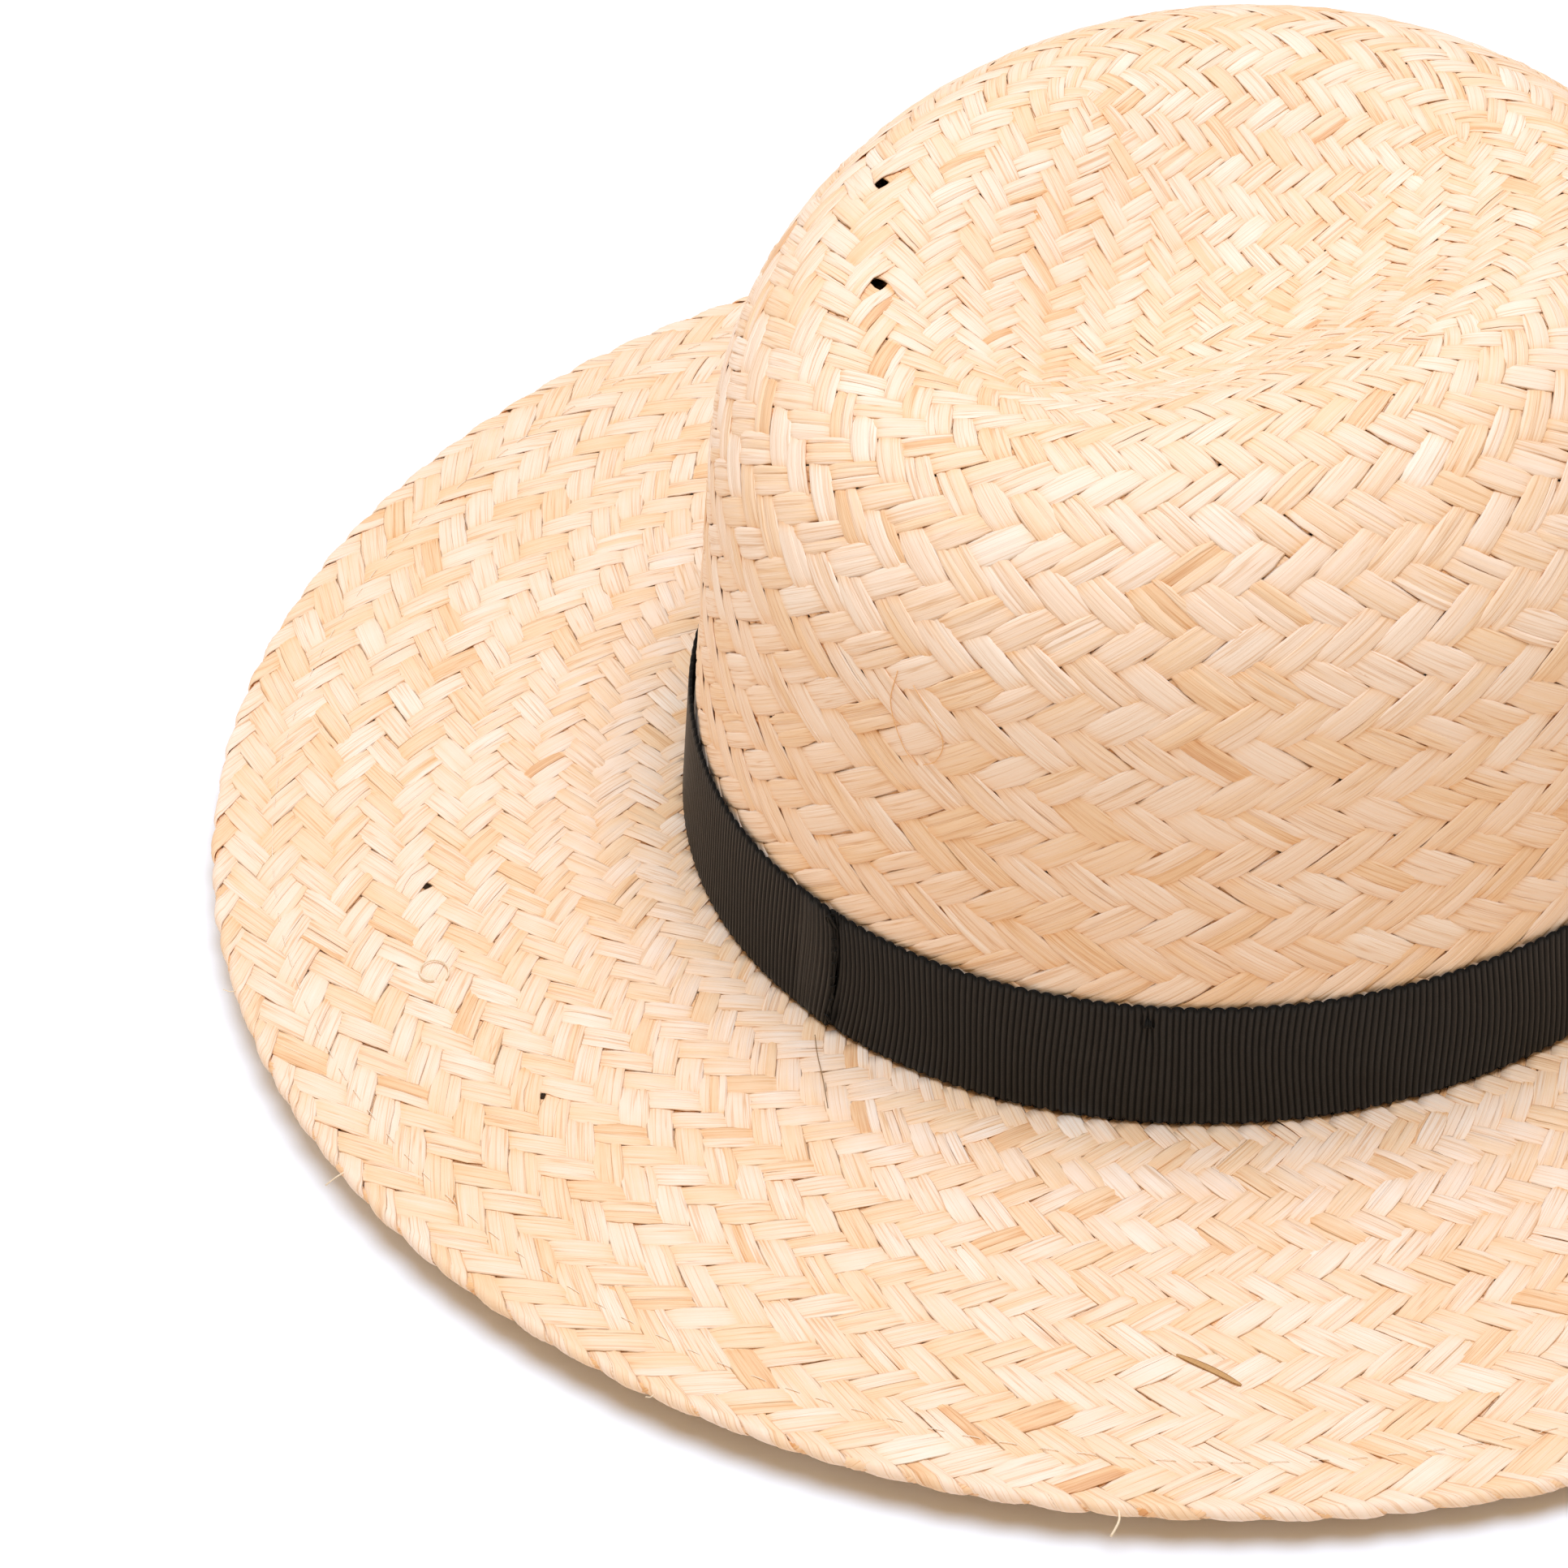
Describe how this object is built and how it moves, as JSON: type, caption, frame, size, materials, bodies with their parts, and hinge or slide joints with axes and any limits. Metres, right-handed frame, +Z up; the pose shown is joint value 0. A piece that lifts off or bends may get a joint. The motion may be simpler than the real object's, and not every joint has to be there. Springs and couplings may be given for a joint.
{
  "type": "straw sun hat",
  "caption": "Woven straw sun hat with a wide flat brim, a round crown pressed in at the top, a dark ribbed ribbon band and an inner sweatband",
  "frame": {"origin": "middle of the hat's bounding box at the underside of the brim's hem, on the ground the hat rests on", "axes": "+Z up through the crown, -Y towards the front of the hat, +X towards the wearer's left"},
  "size_m": [0.351, 0.361, 0.1329],
  "materials": {
    "straw": "matt dried palm straw with a faint sheen along the fibres",
    "straw_hem": "matt dried palm straw, folded under",
    "ribbon": "matt black ribbed grosgrain",
    "black_thread": "slightly shiny black sewing thread",
    "clear_thread": "clear nylon monofilament",
    "cotton": "matt undyed cotton tape"
  },
  "bodies": {
    "root": {"crown": "straw", "brim": "straw", "brim_hem": "straw_hem", "brim_hem_thread": "clear_thread", "hatband": "ribbon", "hatband_lap": "ribbon", "hatband_seam_thread": "black_thread", "hatband_tack_1": "black_thread", "hatband_tack_2": "black_thread", "hatband_tack_3": "black_thread", "hatband_tack_4": "black_thread", "sweatband": "cotton", "sweatband_lap": "cotton", "sweatband_thread": "clear_thread"}
  },
  "joints": []
}
